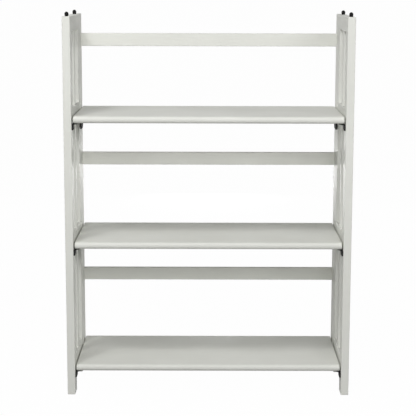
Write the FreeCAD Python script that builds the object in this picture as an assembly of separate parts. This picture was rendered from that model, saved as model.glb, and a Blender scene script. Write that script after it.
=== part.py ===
"""Folding stackable bookcase, painted wood.

Two side frames open out from a fixed back frame of two posts and three rails.
Three shelves hang on pivot pins in the posts and come down on to angle brackets on
the front stiles. To fold it, the shelves are swung up against the back rails, and
the side frames then close over them on butt hinges.

Frame: +X to the right seen from the front, +Y to the back, +Z up, millimetres.
Origin: on the floor, in the middle of the width and of the depth.
Depths named *_at are measured back from the front plane of the side frames.
"""

import FreeCAD
import Part

import math
import os

Vector = FreeCAD.Vector
X_AXIS, Y_AXIS, Z_AXIS = Vector(1, 0, 0), Vector(0, 1, 0), Vector(0, 0, 1)

# ---- overall
WIDTH = 700.0
DEPTH = 292.0

# ---- side frames and back posts
BOARD = 19.0                # thickness of stiles, side rails and posts
FRONT_STILE = 44.0          # each stile's size from front to back
REAR_STILE = 24.0
POST = 70.0
SEAM = 2.0                  # slot between rear stile and post that holds the hinge leaves
EDGE_ROUND = 1.5            # on every board's edges that show
TOP_RAIL_HEIGHT = 37.0
SHELF_RAIL_HEIGHT = 45.0
RAIL_ABOVE_SHELF = 18.0     # top of a side rail above the shelf beside it
SLAT_WIDTH = 25.0
SLAT_THICKNESS = 16.0
SLAT_HOUSING = 6.0          # how far a slat is let into the rails

# ---- shelves
LEVELS = ("bottom", "middle", "top")
LOWEST_SHELF_TOP = 75.0
SHELF_PITCH = 310.0
ABOVE_TOP_SHELF = 239.0      # from the top shelf's top to the stiles' upper ends
SHELF_THICKNESS = 17.0
SHELF_INSET = 8.0           # front nose behind the front plane of the side frames
SHELF_TAIL = 35.0           # how far a shelf runs back behind its pivot
END_GAP = 2.5               # between a shelf's end and the side frame
NOSE_FLAT = 1.0             # flat left in the middle of the rounded nose
END_ROUND = 2.5

# ---- back rails
BACK_RAIL_HEIGHT = 33.0
BACK_RAIL_THICKNESS = 12.0
BACK_RAIL_INSET = 1.5       # behind each rail, inside the posts' back plane
BACK_RAIL_ABOVE_SHELF = 172.0   # middle of the rail above the shelf's top
FOLDED_GAP = 2.5            # between a shelf that is folded up and the back rail

# ---- pivot brackets, on the shelves' undersides
PIVOT_DROP = 22.0           # pivot below the middle of the shelf's thickness
BRACKET_PLATE = 2.5
PIVOT_PLATE_FRONT = 45.0    # how far the plate reaches from the pivot
PIVOT_PLATE_BACK = 9.0
PIVOT_PLATE_BELOW = 22.0
PIVOT_PLATE_CORNERS = (1.5, 15.0)   # lower front and lower rear
PIVOT_LEG = 15.0            # leg under the shelf
PIN_RADIUS = 3.0
PIN_RUNNING_FIT = 0.05
PIN_IN_POST = 13.0
PIN_HEAD_RADIUS = 5.5
PIN_HEAD = 3.0
PIN_SOCKET = 3.0            # across the flats of the hexagon socket
PIN_SOCKET_DEPTH = 1.8
WASHER_RADIUS = 6.5
SIDE_PLAY = 0.1             # each side of the washer, and under the pin's head

# ---- rest brackets, on the front stiles
REST_PLATE = 3.0
REST_LEG = 14.5             # leg under the shelf
REST_DROP = 17.0            # plate's lower end under the shelf
REST_WIDTH = 30.0
REST_AT = 25.0              # middle of the bracket
REST_CLIP = 20.0            # leg's front corner, clipped off so that it hides under the nose
REST_GAP = 0.2
BEND = 1.5                  # inside radius where either bracket is bent
BRACKET_CORNER = 3.0

# ---- butt hinges between rear stiles and posts
HINGE_HEIGHT = 38.0
LEAF = 0.9
LEAF_WIDTH = 15.0
BARREL_RADIUS = 2.0
BARREL_CLEARANCE = 0.3
HINGE_PIN_RADIUS = 1.0
HINGE_RUNNING_FIT = 0.05
KNUCKLE_GAP = 0.2
HINGE_SCREW_SPREAD = 22.0   # between the two screws of a leaf

# ---- dowels
FRAME_DOWEL_RADIUS = 4.0
FRAME_DOWEL_IN_STILE = 10.0
FRAME_DOWEL_IN_RAIL = 20.0
FRAME_DOWEL_SPREAD = 20.0   # between the two dowels of a joint
BACK_DOWEL_RADIUS = 2.5
BACK_DOWEL_IN_POST = 12.0
BACK_DOWEL_IN_RAIL = 18.0
BACK_DOWEL_SPREAD = 16.0
HOLE_SPARE = 1.0            # hole deeper than the dowel, at each end

# ---- stacking pegs and the sockets under the feet
PEG_RADIUS = 5.0
PEG_HEIGHT = 11.0
PEG_DOME = 4.5
PEG_TANG_RADIUS = 4.0
PEG_TANG = 18.0
SOCKET_CLEARANCE = 0.3
SOCKET_SPARE = 2.0
FRONT_PEG_IN_STILE = 22.0   # peg's middle behind its stile's front
REAR_PEG_IN_STILE = 16.0

# ---- countersunk wood screws: shank radius, head radius, head depth, length
BRACKET_SCREW = (1.75, 3.5, 1.75, 14.0)
HINGE_SCREW = (1.1, 1.9, 0.8, 12.0)
BRACKET_SCREW_SPREAD = 11.0
PIVOT_SCREW_SPREAD = 30.0
SCREW_POINT = 3.0

# ---- places that follow from the sizes
HEIGHT = LOWEST_SHELF_TOP + (len(LEVELS) - 1) * SHELF_PITCH + ABOVE_TOP_SHELF
INNER = WIDTH / 2 - BOARD                       # inner face of a side frame
BOARD_MIDDLE = WIDTH / 2 - BOARD / 2
REAR_STILE_END = DEPTH - POST - SEAM
REAR_STILE_START = REAR_STILE_END - REAR_STILE
POST_START = DEPTH - POST
HINGE_AT = REAR_STILE_END + SEAM / 2
SHELF_END = INNER - END_GAP
BACK_RAIL_AT = DEPTH - BACK_RAIL_INSET - BACK_RAIL_THICKNESS
FOLDED_MIDDLE_AT = BACK_RAIL_AT - FOLDED_GAP - SHELF_THICKNESS / 2
PIVOT_AT = FOLDED_MIDDLE_AT - PIVOT_DROP
PIVOT_PLATE_MIDDLE_AT = PIVOT_AT + (PIVOT_PLATE_BACK - PIVOT_PLATE_FRONT) / 2
SHELF_BACK_AT = PIVOT_AT + SHELF_TAIL
FRONT_PEG_AT = FRONT_PEG_IN_STILE
REAR_PEG_AT = REAR_STILE_START + REAR_PEG_IN_STILE
OPENING = REAR_STILE_START - FRONT_STILE
SLAT_AT = FRONT_STILE + OPENING / 2 - SLAT_WIDTH / 2


def y_of(at):
    """Y of a depth measured back from the front plane."""
    return at - DEPTH / 2


def shelf_top(level):
    return LOWEST_SHELF_TOP + LEVELS.index(level) * SHELF_PITCH


def shelf_middle(level):
    return shelf_top(level) - SHELF_THICKNESS / 2


def shelf_underside(level):
    return shelf_top(level) - SHELF_THICKNESS


def side_rail_top(level):
    return shelf_top(level) + RAIL_ABOVE_SHELF


def side_rail_middle(level):
    return side_rail_top(level) - SHELF_RAIL_HEIGHT / 2


# ---- shapes
def block(x, at, z):
    """Box between two X values, two depths and two heights."""
    corner = Vector(x[0], y_of(at[0]), z[0])
    return Part.makeBox(x[1] - x[0], at[1] - at[0], z[1] - z[0], corner)


def rod(radius, length, start, along):
    return Part.makeCylinder(radius, length, start, along)


def cut_all(shape, tools):
    return shape.cut(Part.makeCompound(tools)) if tools else shape


def long_edges(shape, along, test):
    """Straight edges along one axis whose middle passes the test."""
    found = []
    for edge in shape.Edges:
        ends = [v.Point for v in edge.Vertexes]
        if len(ends) == 2 and (ends[1] - ends[0]).normalize().cross(along).Length < 1e-6:
            if test(edge.CenterOfMass):
                found.append(edge)
    return found


def eased(board, along):
    """Board with its long edges rounded."""
    return board.makeFillet(EDGE_ROUND, long_edges(board, along, lambda p: True))


def mirrored(shape):
    """The same piece for the left side."""
    return shape.mirror(Vector(0, 0, 0), X_AXIS)


def screw(size, head, along):
    """Countersunk screw: flat head face at `head`, running in the direction `along`."""
    shank, head_radius, head_depth, length = size
    outline = [
        Vector(0, 0, 0),
        Vector(head_radius, 0, 0),
        Vector(shank, 0, head_depth),
        Vector(shank, 0, length - SCREW_POINT),
        Vector(0, 0, length),
        Vector(0, 0, 0),
    ]
    body = Part.Face(Part.makePolygon(outline)).revolve(Vector(0, 0, 0), Z_AXIS, 360)
    body.Placement = FreeCAD.Placement(head, FreeCAD.Rotation(Z_AXIS, along))
    return body


def spread(middle, distance):
    return (middle - distance / 2, middle + distance / 2)


# ---- fasteners of the right-hand side, which also cut their own holes
def frame_dowels(spare=0.0):
    """Two dowels at each end of each side rail, from the stile into the rail."""
    heights = list(spread(HEIGHT - TOP_RAIL_HEIGHT / 2, FRAME_DOWEL_SPREAD))
    for level in LEVELS:
        heights += spread(side_rail_middle(level), FRAME_DOWEL_SPREAD)
    starts = (FRONT_STILE - FRAME_DOWEL_IN_STILE, REAR_STILE_START - FRAME_DOWEL_IN_RAIL)
    length = FRAME_DOWEL_IN_STILE + FRAME_DOWEL_IN_RAIL + 2 * spare
    return [
        rod(FRAME_DOWEL_RADIUS, length, Vector(BOARD_MIDDLE, y_of(at - spare), z), Y_AXIS)
        for at in starts
        for z in heights
    ]


def back_rail_z(level):
    return shelf_top(level) + BACK_RAIL_ABOVE_SHELF


def back_dowels(spare=0.0):
    y = y_of(BACK_RAIL_AT + BACK_RAIL_THICKNESS / 2)
    start = INNER - BACK_DOWEL_IN_RAIL - spare
    length = BACK_DOWEL_IN_RAIL + BACK_DOWEL_IN_POST + 2 * spare
    return [
        rod(BACK_DOWEL_RADIUS, length, Vector(start, y, z), X_AXIS)
        for level in LEVELS
        for z in spread(back_rail_z(level), BACK_DOWEL_SPREAD)
    ]


def rest_screws():
    x = INNER - REST_PLATE
    z_under_leg = (REST_DROP + REST_GAP + REST_PLATE) / 2
    return [
        screw(BRACKET_SCREW, Vector(x, y_of(at), shelf_underside(level) - z_under_leg), X_AXIS)
        for level in LEVELS
        for at in spread(REST_AT, BRACKET_SCREW_SPREAD)
    ]


def pivot_screws(level):
    x = SHELF_END - BRACKET_PLATE - (PIVOT_LEG - BRACKET_PLATE) / 2
    z = shelf_underside(level) - BRACKET_PLATE
    return [
        screw(BRACKET_SCREW, Vector(x, y_of(at), z), Z_AXIS)
        for at in spread(PIVOT_PLATE_MIDDLE_AT, PIVOT_SCREW_SPREAD)
    ]


def hinge_screws():
    x = INNER + (BARREL_RADIUS + LEAF_WIDTH) / 2
    found = []
    for level in LEVELS:
        for z in spread(side_rail_middle(level), HINGE_SCREW_SPREAD):
            stile_face = Vector(x, y_of(REAR_STILE_END + LEAF), z)
            post_face = Vector(x, y_of(POST_START - LEAF), z)
            found.append(screw(HINGE_SCREW, stile_face, Vector(0, -1, 0)))
            found.append(screw(HINGE_SCREW, post_face, Y_AXIS))
    return found


def pivot_point(level, x):
    return Vector(x, y_of(PIVOT_AT), shelf_middle(level) - PIVOT_DROP)


def hexagon(across, length, start):
    corner = across / math.sqrt(3)
    points = [
        start + Vector(0, corner * math.cos(k * math.pi / 3), corner * math.sin(k * math.pi / 3))
        for k in range(7)
    ]
    return Part.Face(Part.makePolygon(points)).extrude(Vector(length, 0, 0))


def pivot_pins():
    """Shoulder screws: a head inside the bracket and a shank through to the post."""
    found = []
    head_face = SHELF_END - BRACKET_PLATE - SIDE_PLAY
    for level in LEVELS:
        head = rod(PIN_HEAD_RADIUS, PIN_HEAD, pivot_point(level, head_face - PIN_HEAD), X_AXIS)
        shank_length = INNER + PIN_IN_POST - head_face
        shank = rod(PIN_RADIUS, shank_length, pivot_point(level, head_face), X_AXIS)
        socket = hexagon(PIN_SOCKET, PIN_SOCKET_DEPTH, pivot_point(level, head_face - PIN_HEAD))
        found.append(head.fuse(shank).cut(socket).removeSplitter())
    return found


def pivot_washers():
    found = []
    thickness = END_GAP - 2 * SIDE_PLAY
    for level in LEVELS:
        start = pivot_point(level, SHELF_END + SIDE_PLAY)
        ring = rod(WASHER_RADIUS, thickness, start, X_AXIS)
        found.append(ring.cut(rod(PIN_RADIUS + PIN_RUNNING_FIT, thickness, start, X_AXIS)))
    return found


# ---- butt hinges
def hinge_rod(radius, z):
    return rod(radius, z[1] - z[0], Vector(INNER, y_of(HINGE_AT), z[0]), Z_AXIS)


def hinge_spans(level):
    """Heights of the whole hinge and of its middle knuckle."""
    whole = spread(side_rail_middle(level), HINGE_HEIGHT)
    return whole, spread(side_rail_middle(level), HINGE_HEIGHT / 3)


def hinge_leaf(level, on_post):
    whole, middle = hinge_spans(level)
    at = (POST_START - LEAF, POST_START) if on_post else (REAR_STILE_END, REAR_STILE_END + LEAF)
    leaf = block((INNER, INNER + LEAF_WIDTH), at, whole)
    if on_post:
        kept = [(middle[0] + KNUCKLE_GAP, middle[1] - KNUCKLE_GAP)]
        cleared = [(whole[0], middle[0] + KNUCKLE_GAP), (middle[1] - KNUCKLE_GAP, whole[1])]
    else:
        kept = [(whole[0], middle[0]), (middle[1], whole[1])]
        cleared = [middle]
    leaf = cut_all(leaf, [hinge_rod(BARREL_RADIUS + KNUCKLE_GAP, z) for z in cleared])
    for z in kept:
        leaf = leaf.fuse(hinge_rod(BARREL_RADIUS, z))
    leaf = leaf.cut(hinge_rod(HINGE_PIN_RADIUS + HINGE_RUNNING_FIT, whole))
    return cut_all(leaf, hinge_screws()).removeSplitter()


def hinge_pins():
    return [hinge_rod(HINGE_PIN_RADIUS, hinge_spans(level)[0]) for level in LEVELS]


def hinge_mortises():
    """Room around the barrels in the corners of stile and post."""
    radius = BARREL_RADIUS + BARREL_CLEARANCE
    found = []
    for level in LEVELS:
        low, high = hinge_spans(level)[0]
        found.append(hinge_rod(radius, (low - BARREL_CLEARANCE, high + BARREL_CLEARANCE)))
    return found


# ---- pegs and sockets
def peg(at):
    head = rod(PEG_RADIUS, PEG_HEIGHT, Vector(BOARD_MIDDLE, y_of(at), HEIGHT), Z_AXIS)
    top = [e for e in head.Edges if e.CenterOfMass.z > HEIGHT + PEG_HEIGHT - 1e-3]
    head = head.makeFillet(PEG_DOME, top)
    return head.fuse(peg_tang(at, 0.0))


def peg_tang(at, spare):
    start = Vector(BOARD_MIDDLE, y_of(at), HEIGHT - PEG_TANG - spare)
    return rod(PEG_TANG_RADIUS, PEG_TANG + spare, start, Z_AXIS)


def foot_socket(at):
    depth = PEG_HEIGHT + SOCKET_SPARE
    return rod(PEG_RADIUS + SOCKET_CLEARANCE, depth, Vector(BOARD_MIDDLE, y_of(at), 0), Z_AXIS)


# ---- wooden pieces of the right-hand side
def upright(at):
    """Full-height board between two depths, rounded all over."""
    board = block((INNER, WIDTH / 2), at, (0, HEIGHT))
    return board.makeFillet(EDGE_ROUND, board.Edges)


def front_stile():
    tools = frame_dowels(HOLE_SPARE) + rest_screws()
    tools += [peg_tang(FRONT_PEG_AT, HOLE_SPARE), foot_socket(FRONT_PEG_AT)]
    return cut_all(upright((0, FRONT_STILE)), tools)


def rear_stile():
    tools = frame_dowels(HOLE_SPARE) + hinge_screws() + hinge_mortises()
    tools += [peg_tang(REAR_PEG_AT, HOLE_SPARE), foot_socket(REAR_PEG_AT)]
    return cut_all(upright((REAR_STILE_START, REAR_STILE_END)), tools)


def post():
    tools = back_dowels(HOLE_SPARE) + hinge_screws() + hinge_mortises() + pivot_pins()
    return cut_all(upright((POST_START, DEPTH)), tools)


def slat_spans():
    """Heights of the slats, from the lowest, with both housed ends."""
    lower_ends = [side_rail_top(level) - SLAT_HOUSING for level in LEVELS]
    under_rails = [side_rail_top(level) - SHELF_RAIL_HEIGHT for level in LEVELS[1:]]
    upper_ends = [z + SLAT_HOUSING for z in under_rails + [HEIGHT - TOP_RAIL_HEIGHT]]
    return dict(zip(LEVELS, zip(lower_ends, upper_ends)))


def slat(level):
    at = (SLAT_AT, SLAT_AT + SLAT_WIDTH)
    return eased(block(spread(BOARD_MIDDLE, SLAT_THICKNESS), at, slat_spans()[level]), Z_AXIS)


def side_rail(z):
    rail = eased(block((INNER, WIDTH / 2), (FRONT_STILE, REAR_STILE_START), z), Y_AXIS)
    return cut_all(rail, frame_dowels(HOLE_SPARE) + [slat(level) for level in LEVELS])


def shelf_side_rail(level):
    return side_rail((side_rail_top(level) - SHELF_RAIL_HEIGHT, side_rail_top(level)))


# ---- brackets of the right-hand side
def leg_clip(face, leg, thickness, front, top, clip):
    """Wedge that takes the front corner off a bracket's leg, from the bend to its end."""
    start, end = face - thickness - BEND, face - leg - 1
    back = y_of(front) + clip * (start - end) / (start - end - 1)
    corners = [
        (start, y_of(front)),
        (start, y_of(front) - 1),
        (end, y_of(front) - 1),
        (end, back),
        (start, y_of(front)),
    ]
    outline = Part.makePolygon([Vector(x, y, top - thickness - 1) for x, y in corners])
    return Part.Face(outline).extrude(Vector(0, 0, thickness + 2))


def bent_bracket(face, leg, drop, thickness, at, top, lower_corners, clip=0.0):
    """Strip of steel bent to a right angle: a plate against `face`, a leg under `top`."""
    plate = block((face - thickness, face), at, (top - drop, top))
    angle = plate.fuse(block((face - leg, face), at, (top - thickness, top))).removeSplitter()

    def near(x, z):
        return lambda p: abs(p.x - x) < 1e-3 and abs(p.z - z) < 1e-3

    def near_edge(d, z):
        return lambda p: abs(p.y - y_of(d)) < 1e-3 and abs(p.z - z) < 1e-3

    angle = angle.makeFillet(BEND + thickness, long_edges(angle, Y_AXIS, near(face, top)))
    inside = near(face - thickness, top - thickness)
    angle = angle.makeFillet(BEND, long_edges(angle, Y_AXIS, inside))
    if clip:
        angle = angle.cut(leg_clip(face, leg, thickness, at[0], top, clip))
    free = long_edges(angle, Z_AXIS, lambda p: p.x < face - leg + 1e-3)
    angle = angle.makeFillet(BRACKET_CORNER, free)
    for corner, d in zip(lower_corners, at):
        low = near_edge(d, top - drop)
        angle = angle.makeFillet(corner, long_edges(angle, X_AXIS, low))
    return angle


def rest_bracket(level):
    top = shelf_underside(level) - REST_GAP
    at = spread(REST_AT, REST_WIDTH)
    drop = REST_DROP - REST_GAP
    angle = bent_bracket(
        INNER, REST_LEG, drop, REST_PLATE, at, top, 2 * (BRACKET_CORNER,), clip=REST_CLIP
    )
    return cut_all(angle, rest_screws())


def pivot_bracket(level):
    top = shelf_underside(level)
    at = (PIVOT_AT - PIVOT_PLATE_FRONT, PIVOT_AT + PIVOT_PLATE_BACK)
    drop = top - (shelf_middle(level) - PIVOT_DROP - PIVOT_PLATE_BELOW)
    angle = bent_bracket(
        SHELF_END, PIVOT_LEG, drop, BRACKET_PLATE, at, top, PIVOT_PLATE_CORNERS
    )
    plate_face = pivot_point(level, SHELF_END - BRACKET_PLATE)
    hole = rod(PIN_RADIUS + PIN_RUNNING_FIT, BRACKET_PLATE, plate_face, X_AXIS)
    return cut_all(angle, [hole] + pivot_screws(level))


# ---- pieces across the whole width
def shelf(level):
    at = (SHELF_INSET, SHELF_BACK_AT)
    board = block((-SHELF_END, SHELF_END), at, (shelf_underside(level), shelf_top(level)))
    front = y_of(SHELF_INSET)
    nose = long_edges(board, X_AXIS, lambda p: abs(p.y - front) < 1e-3)
    board = board.makeFillet((SHELF_THICKNESS - NOSE_FLAT) / 2, nose)
    ends = [e for e in board.Edges if abs(abs(e.CenterOfMass.x) - SHELF_END) < 1e-3]
    ends = [e for e in ends if e.CenterOfMass.y < y_of(SHELF_BACK_AT) - 1e-3]
    board = board.makeFillet(END_ROUND, ends)
    screws = pivot_screws(level)
    return cut_all(board, screws + [mirrored(s) for s in screws])


def back_rail(level):
    z = spread(back_rail_z(level), BACK_RAIL_HEIGHT)
    at = (BACK_RAIL_AT, BACK_RAIL_AT + BACK_RAIL_THICKNESS)
    rail = eased(block((-INNER, INNER), at, z), X_AXIS)
    dowels = back_dowels(HOLE_SPARE)
    return cut_all(rail, dowels + [mirrored(d) for d in dowels])


# ---- nodes
def right_side_nodes():
    """Every node of the right-hand side, by its name without the side."""
    nodes = {
        "front_stile": front_stile(),
        "rear_stile": rear_stile(),
        "back_post": post(),
        "top_side_rail": side_rail((HEIGHT - TOP_RAIL_HEIGHT, HEIGHT)),
        "front_peg": peg(FRONT_PEG_AT),
        "rear_peg": peg(REAR_PEG_AT),
        "frame_dowels": Part.makeCompound(frame_dowels()),
        "hinge_stile_leaves": Part.makeCompound([hinge_leaf(v, False) for v in LEVELS]),
        "hinge_post_leaves": Part.makeCompound([hinge_leaf(v, True) for v in LEVELS]),
        "hinge_pins": Part.makeCompound(hinge_pins()),
    }
    for level in LEVELS:
        nodes[f"{level}_shelf_side_rail"] = shelf_side_rail(level)
        nodes[f"{level}_slat"] = slat(level)
        nodes[f"{level}_rest_bracket"] = rest_bracket(level)
        nodes[f"{level}_pivot_bracket"] = pivot_bracket(level)
    return nodes


def both_sides(solids):
    return Part.makeCompound(solids + [mirrored(s) for s in solids])


def all_nodes():
    nodes = {}
    for name, shape in right_side_nodes().items():
        nodes["right_" + name] = shape
        nodes["left_" + name] = mirrored(shape)
    for level in LEVELS:
        nodes[f"{level}_shelf"] = shelf(level)
        nodes[f"{level}_back_rail"] = back_rail(level)
        nodes[f"{level}_pivot_screws"] = both_sides(pivot_screws(level))
    nodes["pivot_pins"] = both_sides(pivot_pins())
    nodes["pivot_washers"] = both_sides(pivot_washers())
    nodes["back_rail_dowels"] = both_sides(back_dowels())
    nodes["rest_bracket_screws"] = both_sides(rest_screws())
    nodes["hinge_screws"] = both_sides(hinge_screws())
    return nodes


os.makedirs("parts", exist_ok=True)
for node_name, node_shape in sorted(all_nodes().items()):
    assert node_shape.isValid(), node_name + " is not a valid shape"
    node_shape.exportStep(f"parts/{node_name}.step")
    print(node_name, len(node_shape.Solids), round(node_shape.Volume))
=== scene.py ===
"""Finishes, small hardware, light and camera for the folding bookcase.

Metres, +Z up, the front of the bookcase faces -Y. The boards, brackets, hinges and pins
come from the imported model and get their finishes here. The bracket screws and the
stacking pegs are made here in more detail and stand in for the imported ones.
"""

import math

import bmesh
import bpy
from mathutils import Matrix, Vector


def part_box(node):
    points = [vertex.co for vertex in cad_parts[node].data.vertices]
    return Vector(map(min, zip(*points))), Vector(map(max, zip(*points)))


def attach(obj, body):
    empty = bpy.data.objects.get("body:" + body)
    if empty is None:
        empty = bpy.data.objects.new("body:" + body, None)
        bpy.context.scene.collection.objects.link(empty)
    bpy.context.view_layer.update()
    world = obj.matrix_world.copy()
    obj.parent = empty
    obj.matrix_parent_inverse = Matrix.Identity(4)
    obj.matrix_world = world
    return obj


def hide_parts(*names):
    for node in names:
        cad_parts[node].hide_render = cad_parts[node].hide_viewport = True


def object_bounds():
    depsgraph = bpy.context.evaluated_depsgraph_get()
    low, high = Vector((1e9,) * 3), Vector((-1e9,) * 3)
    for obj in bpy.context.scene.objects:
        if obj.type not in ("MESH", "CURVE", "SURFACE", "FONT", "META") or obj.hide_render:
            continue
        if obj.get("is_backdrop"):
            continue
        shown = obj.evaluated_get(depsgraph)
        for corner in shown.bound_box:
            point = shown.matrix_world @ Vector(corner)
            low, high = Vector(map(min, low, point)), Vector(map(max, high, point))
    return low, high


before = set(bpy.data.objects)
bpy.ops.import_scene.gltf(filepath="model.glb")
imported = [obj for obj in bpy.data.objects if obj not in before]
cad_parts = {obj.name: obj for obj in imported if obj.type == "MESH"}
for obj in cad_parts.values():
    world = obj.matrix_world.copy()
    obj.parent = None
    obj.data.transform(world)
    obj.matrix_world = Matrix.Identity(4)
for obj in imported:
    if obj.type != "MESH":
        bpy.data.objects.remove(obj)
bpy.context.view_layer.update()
scene = bpy.context.scene

LEVELS = ("bottom", "middle", "top")
SIDES = (("left", -1), ("right", 1))
MM = 0.001


# ---------------------------------------------------------------- shader helpers
WHITE = (1, 1, 1, 1)
NOISE_LOW, NOISE_HIGH = 0.3, 0.7    # most values of a noise texture lie between these


def new_finish(name):
    """Empty material with its node tree and its Principled shader."""
    finish = bpy.data.materials.new(name)
    finish.use_nodes = True
    tree = finish.node_tree
    return finish, tree, tree.nodes["Principled BSDF"]


def add_node(tree, kind, **values):
    """New node with the values set on its inputs, or else on the node itself."""
    node = tree.nodes.new(kind)
    for key, value in values.items():
        if key in node.inputs:
            node.inputs[key].default_value = value
        else:
            setattr(node, key, value)
    return node


def noise(tree, scale, detail=3.0, roughness=0.5, stretch=(1, 1, 1)):
    """Noise in the object's own coordinates, drawn out along the axes with a low stretch."""
    place = tree.nodes.new("ShaderNodeTexCoord")
    mapping = add_node(tree, "ShaderNodeMapping", Scale=stretch)
    tree.links.new(place.outputs["Object"], mapping.inputs["Vector"])
    texture = add_node(
        tree, "ShaderNodeTexNoise", Scale=scale, Detail=detail, Roughness=roughness
    )
    tree.links.new(mapping.outputs["Vector"], texture.inputs["Vector"])
    return texture.outputs["Fac"]


def remap(tree, value, low, high):
    """Spread the usual values of a noise over the range from low to high."""
    node = tree.nodes.new("ShaderNodeMapRange")
    ends = {"From Min": NOISE_LOW, "From Max": NOISE_HIGH, "To Min": low, "To Max": high}
    for key, number in ends.items():
        node.inputs[key].default_value = number
    tree.links.new(value, node.inputs["Value"])
    return node.outputs["Result"]


def add(tree, first, second):
    """Sum of two values."""
    node = add_node(tree, "ShaderNodeMath", operation="ADD")
    tree.links.new(first, node.inputs[0])
    tree.links.new(second, node.inputs[1])
    return node.outputs["Value"]


def coloured(tree, shader, factor, first, second):
    """Let the base colour change from the first to the second with a factor."""
    node = add_node(tree, "ShaderNodeMix", data_type="RGBA")
    ends = {"A": first, "B": second}
    for socket in node.inputs:
        if socket.name in ends and socket.type == "RGBA":
            socket.default_value = (*ends[socket.name], 1)
    tree.links.new(factor, node.inputs["Factor"])
    colour = next(s for s in node.outputs if s.type == "RGBA")
    tree.links.new(colour, shader.inputs["Base Color"])


def roughened(tree, shader, value, low, high):
    """Let the roughness change from low to high with a noise."""
    tree.links.new(remap(tree, value, low, high), shader.inputs["Roughness"])


def bumped(tree, shader, height, depth):
    """Raise the surface with a texture, by a depth in metres."""
    node = add_node(tree, "ShaderNodeBump", Strength=1.0, Distance=depth)
    tree.links.new(height, node.inputs["Height"])
    tree.links.new(node.outputs["Normal"], shader.inputs["Normal"])


def mixed(tree, factor, first, second):
    """Shader that changes from the first to the second with a factor."""
    node = tree.nodes.new("ShaderNodeMixShader")
    for number, source in enumerate((factor, first, second)):
        tree.links.new(source, node.inputs[number])
    return node.outputs["Shader"]


# ---------------------------------------------------------------- finishes
PAINT_LIGHT = (0.800, 0.805, 0.758)
PAINT_DULL = (0.742, 0.747, 0.698)

GRAIN_ACROSS = 38.0         # noise stretch across and along the grain
GRAIN_ALONG = 1.6
STROKES_FINER = 3.1         # brush strokes, next to the grain
CLOUDS_IN_TONE = 0.55       # shares of the paint's tone
GRAIN_IN_TONE = 0.45
STROKES_IN_RELIEF = 0.35    # heights in the paint's relief, where the grain's is 1
PEEL_IN_RELIEF = 0.25

COARSE_RELIEF = 0.08 * MM
FINE_RELIEF = 0.03 * MM
TURNED_RELIEF = 0.01 * MM


def painted_wood(name, along):
    """Off-white satin paint over wood whose grain runs along one axis."""
    finish, tree, shader = new_finish(name)
    stretch = [GRAIN_ACROSS] * 3
    stretch["XYZ".index(along)] = GRAIN_ALONG
    finer = [s * STROKES_FINER for s in stretch]
    grain = noise(tree, scale=9.0, detail=6.0, roughness=0.62, stretch=stretch)
    strokes = noise(tree, scale=14.0, detail=2.0, stretch=finer)
    clouds = noise(tree, scale=7.0)
    peel = noise(tree, scale=620.0, detail=1.0)
    cloudy = remap(tree, clouds, 0.0, CLOUDS_IN_TONE)
    tone = add(tree, cloudy, remap(tree, grain, 0.0, GRAIN_IN_TONE))
    coloured(tree, shader, tone, PAINT_DULL, PAINT_LIGHT)
    roughened(tree, shader, clouds, 0.62, 0.52)
    relief = remap(tree, grain, 0.0, 1.0)
    relief = add(tree, relief, remap(tree, strokes, 0.0, STROKES_IN_RELIEF))
    relief = add(tree, relief, remap(tree, peel, 0.0, PEEL_IN_RELIEF))
    bumped(tree, shader, relief, COARSE_RELIEF)
    shader.inputs["Specular IOR Level"].default_value = 0.3
    return finish


def painted_steel():
    """The same paint over smooth steel, without any grain under it."""
    finish, tree, shader = new_finish("paint_hinges")
    clouds = noise(tree, scale=30.0)
    peel = noise(tree, scale=700.0, detail=2.0)
    coloured(tree, shader, clouds, PAINT_DULL, PAINT_LIGHT)
    roughened(tree, shader, clouds, 0.56, 0.46)
    bumped(tree, shader, peel, FINE_RELIEF)
    shader.inputs["Specular IOR Level"].default_value = 0.35
    return finish


def black_steel():
    """Black powder coat, finely pebbled."""
    finish, tree, shader = new_finish("black_powder_coat")
    pebbles = noise(tree, scale=1500.0, detail=2.0)
    handling = noise(tree, scale=60.0)
    coloured(tree, shader, handling, (0.006, 0.006, 0.006), (0.013, 0.013, 0.012))
    roughened(tree, shader, handling, 0.76, 0.88)
    bumped(tree, shader, pebbles, COARSE_RELIEF)
    shader.inputs["Specular IOR Level"].default_value = 0.2
    return finish


def black_rubber():
    """Dull black rubber of the stacking pegs."""
    finish, tree, shader = new_finish("black_rubber")
    skin = noise(tree, scale=900.0)
    wear = noise(tree, scale=90.0)
    coloured(tree, shader, wear, (0.005, 0.005, 0.005), (0.010, 0.010, 0.010))
    roughened(tree, shader, wear, 0.74, 0.86)
    bumped(tree, shader, skin, FINE_RELIEF)
    shader.inputs["Specular IOR Level"].default_value = 0.16
    return finish


def turned_steel():
    """Dark turned steel of the pivot pins, which lie along X."""
    finish, tree, shader = new_finish("turned_steel")
    rings = noise(tree, scale=60.0, detail=4.0, stretch=(1.0, 40.0, 40.0))
    coloured(tree, shader, rings, (0.25, 0.25, 0.255), (0.37, 0.37, 0.37))
    roughened(tree, shader, rings, 0.31, 0.44)
    bumped(tree, shader, rings, TURNED_RELIEF)
    shader.inputs["Metallic"].default_value = 1.0
    return finish


def nylon():
    """Undyed nylon of the spacing washers."""
    finish, tree, shader = new_finish("natural_nylon")
    cloud = noise(tree, scale=140.0)
    coloured(tree, shader, cloud, (0.74, 0.73, 0.68), (0.82, 0.81, 0.77))
    shader.inputs["Roughness"].default_value = 0.42
    shader.inputs["Subsurface Weight"].default_value = 0.15
    shader.inputs["Subsurface Radius"].default_value = (2 * MM, 2 * MM, 1.5 * MM)
    return finish


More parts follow.
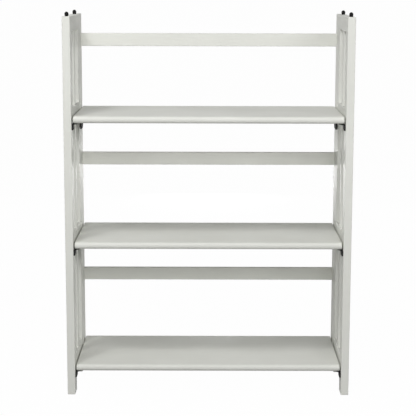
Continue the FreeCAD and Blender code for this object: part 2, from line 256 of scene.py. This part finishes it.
def bare_beech():
    """Bare beech of the dowels."""
    finish, tree, shader = new_finish("bare_beech")
    grain = noise(tree, scale=20.0, detail=5.0, stretch=(4.0, 60.0, 60.0))
    coloured(tree, shader, grain, (0.52, 0.34, 0.19), (0.68, 0.49, 0.31))
    shader.inputs["Roughness"].default_value = 0.62
    bumped(tree, shader, grain, COARSE_RELIEF)
    return finish


paint_upright = painted_wood("paint_upright_boards", "Z")
paint_across = painted_wood("paint_boards_across", "X")
paint_front_back = painted_wood("paint_side_rails", "Y")
paint_hinges = painted_steel()
powder_coat = black_steel()
rubber = black_rubber()
pin_steel = turned_steel()
washer_nylon = nylon()
dowel_beech = bare_beech()


def finish_for(node):
    """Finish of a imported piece, from its name; the brackets and their screws are black."""
    if node.endswith(("stile", "post", "slat")):
        return paint_upright
    if node.endswith("side_rail"):
        return paint_front_back
    if node.endswith(("shelf", "back_rail")):
        return paint_across
    if "hinge" in node:
        return paint_hinges
    if "dowels" in node:
        return dowel_beech
    if "washers" in node:
        return washer_nylon
    if node.endswith("pins"):
        return pin_steel
    if node.endswith("peg"):
        return rubber
    return powder_coat


for node_name, node_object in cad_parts.items():
    node_object.data.materials.clear()
    node_object.data.materials.append(finish_for(node_name))


# ---------------------------------------------------------------- pieces made here
SHARP_FROM = math.radians(35)


def as_piece(name, bm, finish, body, stands_for):
    """Turn a bmesh into a smooth-shaded piece that rides on a body and replaces nodes."""
    bmesh.ops.remove_doubles(bm, verts=bm.verts, dist=0.001 * MM)
    bmesh.ops.recalc_face_normals(bm, faces=bm.faces)
    mesh = bpy.data.meshes.new(name)
    bm.to_mesh(mesh)
    bm.free()
    mesh.materials.append(finish)
    mesh.shade_smooth()
    mesh.set_sharp_from_angle(angle=SHARP_FROM)
    piece = bpy.data.objects.new(name, mesh)
    scene.collection.objects.link(piece)
    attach(piece, body)
    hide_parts(*stands_for)


# Bracket screw, as radii, depths and lengths.
SCREW_SIDES = 24
SCREW_HEAD = 3.5 * MM
SCREW_HEAD_DEPTH = 1.75 * MM
SCREW_SHANK = 1.75 * MM
SCREW_LENGTH = 14 * MM
SCREW_POINT = 3 * MM
SCREW_TIP = 0.02            # tip, as a share of the shank
SCREW_RIM = 0.35 * MM       # width and drop of the sloping edge round the head
SCREW_RIM_DROP = 0.12 * MM
RECESS_STEP = math.radians(360 / SCREW_SIDES)
RECESS_START = 1.05 * MM    # width of the flat ring before it is drawn in to the cross
RECESS_HALF_WIDTH = 0.49 * MM
RECESS_DEPTH = 1.225 * MM
RECESS_TAPER = 0.12 * MM
# How far out the cross reaches, from the middle of an arm's end to the inner corner.
RECESS_REACH = (1.98275 * MM, 1.925 * MM, 1.05875 * MM, RECESS_HALF_WIDTH)


def cross_point(angle):
    """Point of the cross recess's outline in the direction of one of the screw's sides."""
    quarter = round(angle / (math.tau / 4)) * math.tau / 4
    step = round((angle - quarter) / RECESS_STEP)
    across = math.copysign(RECESS_HALF_WIDTH, step) if step else 0
    return Matrix.Rotation(quarter, 2) @ Vector((RECESS_REACH[abs(step)], across))


def pull_out(bm, edges, scale, drop):
    """Extrude a ring of edges, scale it about Z and lower it; returns the new ring."""
    ring = bmesh.ops.extrude_edge_only(bm, edges=edges)["geom"]
    verts = [v for v in ring if isinstance(v, bmesh.types.BMVert)]
    bmesh.ops.scale(bm, vec=(scale, scale, 1), verts=verts)
    bmesh.ops.translate(bm, vec=(0, 0, -drop), verts=verts)
    return [e for e in ring if isinstance(e, bmesh.types.BMEdge)]


def bracket_screw():
    """Countersunk screw with a tapered cross recess, head up at the origin, shank down."""
    bm = bmesh.new()
    bmesh.ops.create_circle(bm, cap_ends=True, segments=SCREW_SIDES, radius=SCREW_HEAD)
    bm.faces.ensure_lookup_table()
    recess = bm.faces[0]
    bmesh.ops.inset_region(bm, faces=[recess], thickness=SCREW_RIM, use_boundary=True)
    rim = [e for e in bm.edges if e.is_boundary]
    bmesh.ops.inset_region(bm, faces=[recess], thickness=RECESS_START)
    for vert in recess.verts:
        vert.co.xy = cross_point(math.atan2(vert.co.y, vert.co.x))
    bmesh.ops.inset_region(bm, faces=[recess], thickness=RECESS_TAPER, depth=-RECESS_DEPTH)
    for edge in rim:
        for vert in edge.verts:
            vert.co.z = -SCREW_RIM_DROP
    ring = pull_out(bm, rim, SCREW_SHANK / SCREW_HEAD, SCREW_HEAD_DEPTH)
    ring = pull_out(bm, ring, 1.0, SCREW_LENGTH - SCREW_HEAD_DEPTH - SCREW_POINT)
    ring = pull_out(bm, ring, SCREW_TIP, SCREW_POINT)
    bmesh.ops.contextual_create(bm, geom=ring)
    bmesh.ops.recalc_face_normals(bm, faces=bm.faces)
    mesh = bpy.data.meshes.new("screw")
    bm.to_mesh(mesh)
    bm.free()
    return mesh


def copies(mesh, places):
    """One bmesh with a copy of a mesh at each (position, direction that its +Z faces)."""
    bm = bmesh.new()
    for position, facing in places:
        before = set(bm.verts)
        bm.from_mesh(mesh)
        turn = Vector(facing).to_track_quat("Z", "Y").to_matrix().to_4x4()
        fresh = [v for v in bm.verts if v not in before]
        bmesh.ops.transform(bm, matrix=Matrix.Translation(position) @ turn, verts=fresh)
    return bm


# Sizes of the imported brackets, which their screws follow.
REST_PLATE = 3 * MM
PIVOT_PLATE = 2.5 * MM
REST_SCREWS_APART = 11 * MM
PIVOT_SCREWS_APART = 30 * MM
PAIR = (-0.5, 0.5)          # places of a bracket's two screws, in screw spacings

screw = bracket_screw()
rest_places = []
for level in LEVELS:
    pivot_places = []
    for side, sign in SIDES:
        low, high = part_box(f"{side}_{level}_rest_bracket")
        middle = (low + high) / 2
        x = (high.x - REST_PLATE) if sign > 0 else (low.x + REST_PLATE)
        for step in PAIR:
            y = middle.y + step * REST_SCREWS_APART
            rest_places.append(((x, y, middle.z - REST_PLATE / 2), (-sign, 0, 0)))
        low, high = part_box(f"{side}_{level}_pivot_bracket")
        middle = (low + high) / 2
        x = middle.x - sign * PIVOT_PLATE / 2
        for step in PAIR:
            y = middle.y + step * PIVOT_SCREWS_APART
            pivot_places.append(((x, y, high.z - PIVOT_PLATE), (0, 0, -1)))
    as_piece(
        f"{level}_pivot_bracket_screws",
        copies(screw, pivot_places),
        powder_coat,
        f"shelf_{level}",
        [f"{level}_pivot_screws"],
    )
as_piece(
    "front_bracket_screws",
    copies(screw, rest_places),
    powder_coat,
    "frame",
    ["rest_bracket_screws"],
)

# Stacking peg: a rounded bulb on a tang that is let into the stile.
PEG_SIDES = 32
PEG_BULB_STEPS = 16
PEG_RADIUS = 5 * MM
PEG_FOOT = 3.7 * MM
TANG_RADIUS = 4 * MM
TANG_BEVEL = (0.5 * MM, 0.8 * MM)
PEG_NECK = 0.4 * MM


def peg_profile(bottom, shoulder, top):
    """Outline from the tang's lower end, over a rounded bulb, to the top of the dome."""
    bevel_in, bevel_up = TANG_BEVEL
    outline = [(0, bottom), (TANG_RADIUS - bevel_in, bottom), (TANG_RADIUS, bottom + bevel_up)]
    outline += [(TANG_RADIUS, shoulder - PEG_NECK), (PEG_FOOT - PEG_NECK, shoulder)]
    half = (top - shoulder) / 2
    waist = math.acos(PEG_FOOT / PEG_RADIUS)
    for step in range(PEG_BULB_STEPS):
        angle = -waist + step / PEG_BULB_STEPS * (waist + math.pi / 2)
        lift = half if angle > 0 else half / math.sin(waist)
        height = shoulder + half + lift * math.sin(angle)
        outline.append((PEG_RADIUS * math.cos(angle), height))
    return outline + [(0, top)]


def lathe(profile, x, y):
    """Spin a profile of (radius, height) about an upright axis into a closed shape."""
    bm = bmesh.new()
    verts = [bm.verts.new((radius, 0, height)) for radius, height in profile]
    edges = [bm.edges.new(pair) for pair in zip(verts, verts[1:])]
    bmesh.ops.spin(
        bm,
        geom=verts + edges,
        cent=(0, 0, 0),
        axis=(0, 0, 1),
        angle=math.tau,
        steps=PEG_SIDES,
        use_merge=True,
    )
    bmesh.ops.remove_doubles(bm, verts=bm.verts, dist=0.0001 * MM)
    bmesh.ops.translate(bm, vec=(x, y, 0), verts=bm.verts)
    return bm


for side, _ in SIDES:
    stile_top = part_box(f"{side}_front_stile")[1].z
    for place in ("front", "rear"):
        node = f"{side}_{place}_peg"
        low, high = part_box(node)
        middle = (low + high) / 2
        peg = lathe(peg_profile(low.z, stile_top, high.z), middle.x, middle.y)
        as_piece(f"{side}_{place}_stacking_peg", peg, rubber, "frame", [node])


# ---------------------------------------------------------------- stage
STAGE_WHITE = 0.985
STAGE_BOUNCE = (0.38, 0.38, 0.38)
STAGE_PAPER = (0.8, 0.8, 0.8)
STAGE_HALF_WIDTH = 90.0
ROOM_LIGHT = 0.12


def plainly_seen(tree):
    """1 for what the camera sees itself, in a shine or through glass, 0 for other light."""
    path = tree.nodes.new("ShaderNodeLightPath")
    seen = add(tree, path.outputs["Is Camera Ray"], path.outputs["Is Glossy Ray"])
    seen = add(tree, seen, path.outputs["Is Transmission Ray"])
    seen.node.use_clamp = True
    return seen


def stage_finish():
    """White where it is plainly seen, and grey for the light that it throws back."""
    finish, tree, shader = new_finish("pale_stage")
    coloured(tree, shader, plainly_seen(tree), STAGE_BOUNCE, STAGE_PAPER)
    shader.inputs["Roughness"].default_value = 0.9
    shader.inputs["Specular IOR Level"].default_value = 0.1
    glow = add_node(tree, "ShaderNodeEmission", Color=WHITE, Strength=1.0)
    share = add_node(tree, "ShaderNodeMath", operation="MULTIPLY")
    tree.links.new(plainly_seen(tree), share.inputs[0])
    share.inputs[1].default_value = STAGE_WHITE
    paper = mixed(
        tree, share.outputs["Value"], shader.outputs["BSDF"], glow.outputs["Emission"]
    )
    out = next(n for n in tree.nodes if n.type == "OUTPUT_MATERIAL")
    tree.links.new(paper, out.inputs["Surface"])
    return finish


bm = bmesh.new()
bmesh.ops.create_grid(bm, x_segments=1, y_segments=1, size=STAGE_HALF_WIDTH)
floor_mesh = bpy.data.meshes.new("floor")
bm.to_mesh(floor_mesh)
bm.free()
floor_mesh.materials.append(stage_finish())
floor = bpy.data.objects.new("floor", floor_mesh)
scene.collection.objects.link(floor)
floor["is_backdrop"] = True

world = bpy.data.worlds.new("studio")
scene.world = world
world.use_nodes = True
tree = world.node_tree
tree.nodes.clear()
room = add_node(tree, "ShaderNodeBackground", Color=WHITE, Strength=ROOM_LIGHT)
seen = add_node(tree, "ShaderNodeBackground", Color=WHITE, Strength=1.0)
sky = mixed(
    tree, plainly_seen(tree), room.outputs["Background"], seen.outputs["Background"]
)
out = tree.nodes.new("ShaderNodeOutputWorld")
tree.links.new(sky, out.inputs["Surface"])

# ---------------------------------------------------------------- light
# Name, place, height that it aims at above the origin, width and height, watts.
LAMPS = (
    ("high_left", (-1.1, -1.5, 3.2), 0.4, (0.6, 0.6), 13),
    ("overhead", (-0.65, -1.1, 2.2), 0.4, (0.5, 0.45), 11),
    ("front_middle", (0, -2.7, 1.4), 0.5, (1.2, 0.9), 26),
    ("front_right", (1.3, -2.7, 1.6), 0.5, (1.2, 0.9), 19),
    ("left_side", (-2.8, 0.2, 0.65), 0.5, (1.0, 0.8), 7),
    ("right_side", (2.8, 0.2, 0.65), 0.5, (1.0, 0.8), 7),
    ("back_left", (-1.6, 2.5, 0.9), 0.5, (1.2, 0.8), 4),
    ("back_right", (1.4, 2.5, 0.5), 0.5, (1.2, 0.7), 3),
    ("back_middle", (0, 3.0, 0.1), 0.45, (0.4, 0.16), 10),
)

for name, place, aim, size, power in LAMPS:
    light = bpy.data.lights.new(f"{name}_softbox", "AREA")
    light.shape = "RECTANGLE"
    light.size, light.size_y = size
    light.energy = power
    lamp = bpy.data.objects.new(f"{name}_softbox", light)
    lamp.location = place
    lamp.rotation_mode = "QUATERNION"
    lamp.rotation_quaternion = (Vector((0, 0, aim)) - Vector(place)).to_track_quat("-Z", "Y")
    lamp.visible_camera = False
    scene.collection.objects.link(lamp)

# ---------------------------------------------------------------- camera
SENSOR_WIDTH = 36           # sensor and lens in millimetres
LENS = 114.8
CAMERA_PLACE = (-0.0011, -3.328, 1.025)
CAMERA_DOWN = math.radians(9.84)
CAMERA_ROLL = 0.0023

camera_data = bpy.data.cameras.new("camera")
camera = bpy.data.objects.new("camera", camera_data)
scene.collection.objects.link(camera)
scene.camera = camera
camera_data.sensor_width = SENSOR_WIDTH
camera_data.lens = LENS
camera_data.clip_start, camera_data.clip_end = 0.05, 200
camera.matrix_world = (
    Matrix.Translation(CAMERA_PLACE)
    @ Matrix.Rotation(math.pi / 2 - CAMERA_DOWN, 4, "X")
    @ Matrix.Rotation(CAMERA_ROLL, 4, "Z")
)

scene.view_settings.view_transform = "Standard"

low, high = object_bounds()
